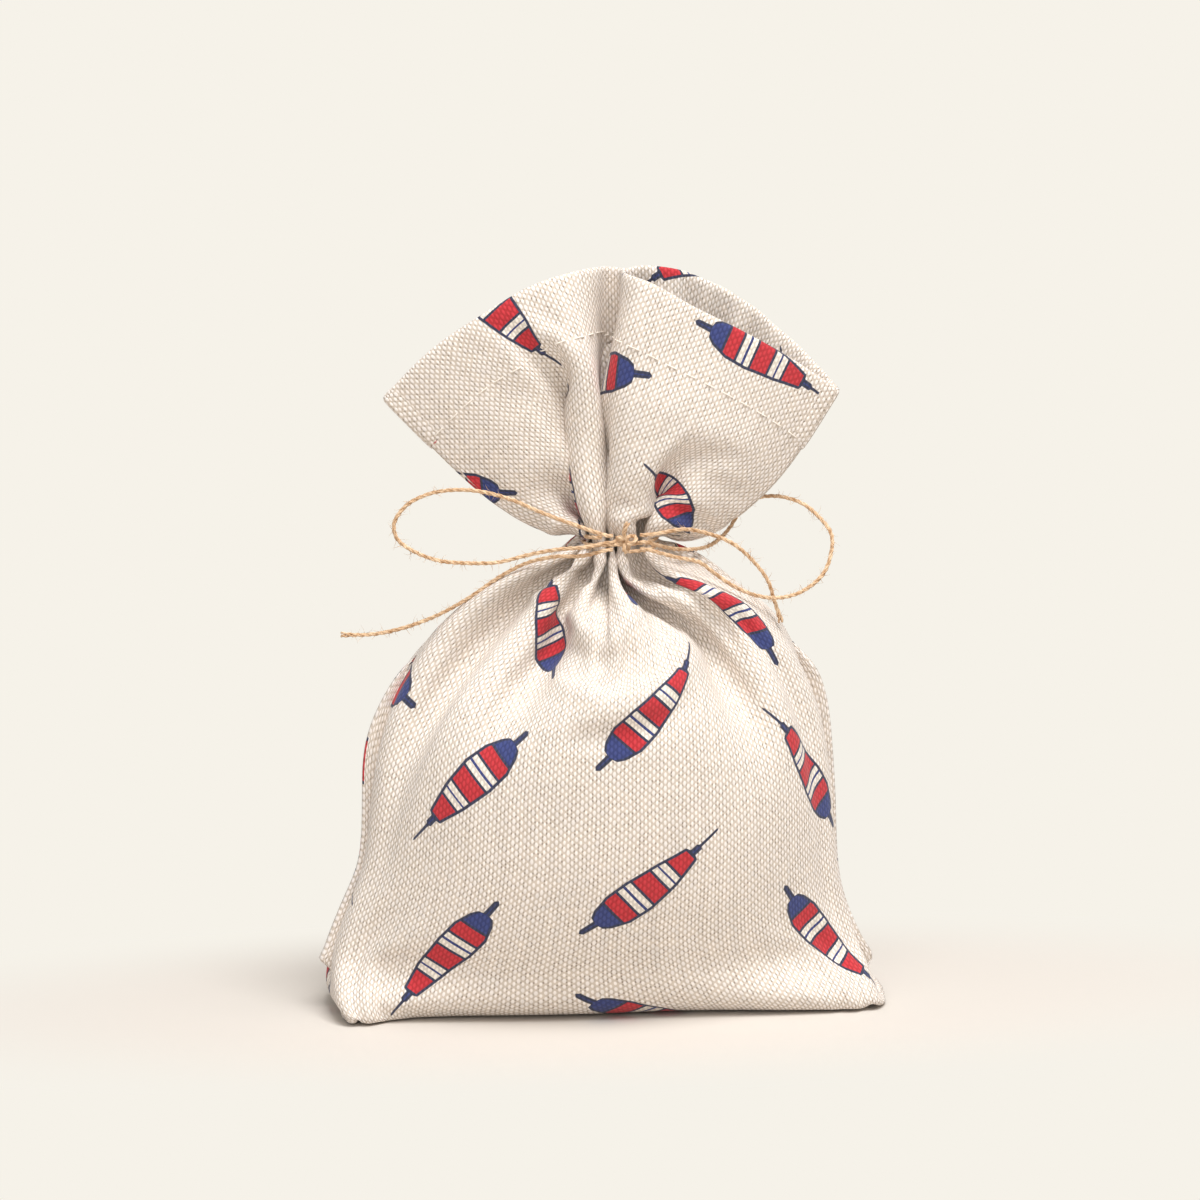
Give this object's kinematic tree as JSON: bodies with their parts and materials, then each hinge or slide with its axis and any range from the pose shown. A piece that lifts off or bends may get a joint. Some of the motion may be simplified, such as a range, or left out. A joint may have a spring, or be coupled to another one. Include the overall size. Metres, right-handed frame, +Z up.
{
  "type": "fabric pouch",
  "caption": "Small stuffed linen gift pouch standing on its base, gathered at the neck and tied with thin jute twine in a bow, with an open ruffled mouth.",
  "frame": {"origin": "middle of the base, on the surface that the pouch stands on", "axes": "+Z up through the neck, -Y towards the front where the bow's knot is, +X along the base to the right as seen from the front"},
  "size_m": [0.113, 0.059, 0.1512],
  "materials": {
    "linen": "matt plain weave",
    "wadding": "matt",
    "jute_twine": "matt, twisted"
  },
  "bodies": {
    "root": {"front_panel": "linen", "back_panel": "linen", "filling": "wadding", "neck_wrap": "jute_twine", "bow_knot": "jute_twine", "bow_loop_left": "jute_twine", "bow_tail_left": "jute_twine", "bow_tail_right": "jute_twine", "bow_loop_right": "jute_twine"}
  },
  "joints": []
}
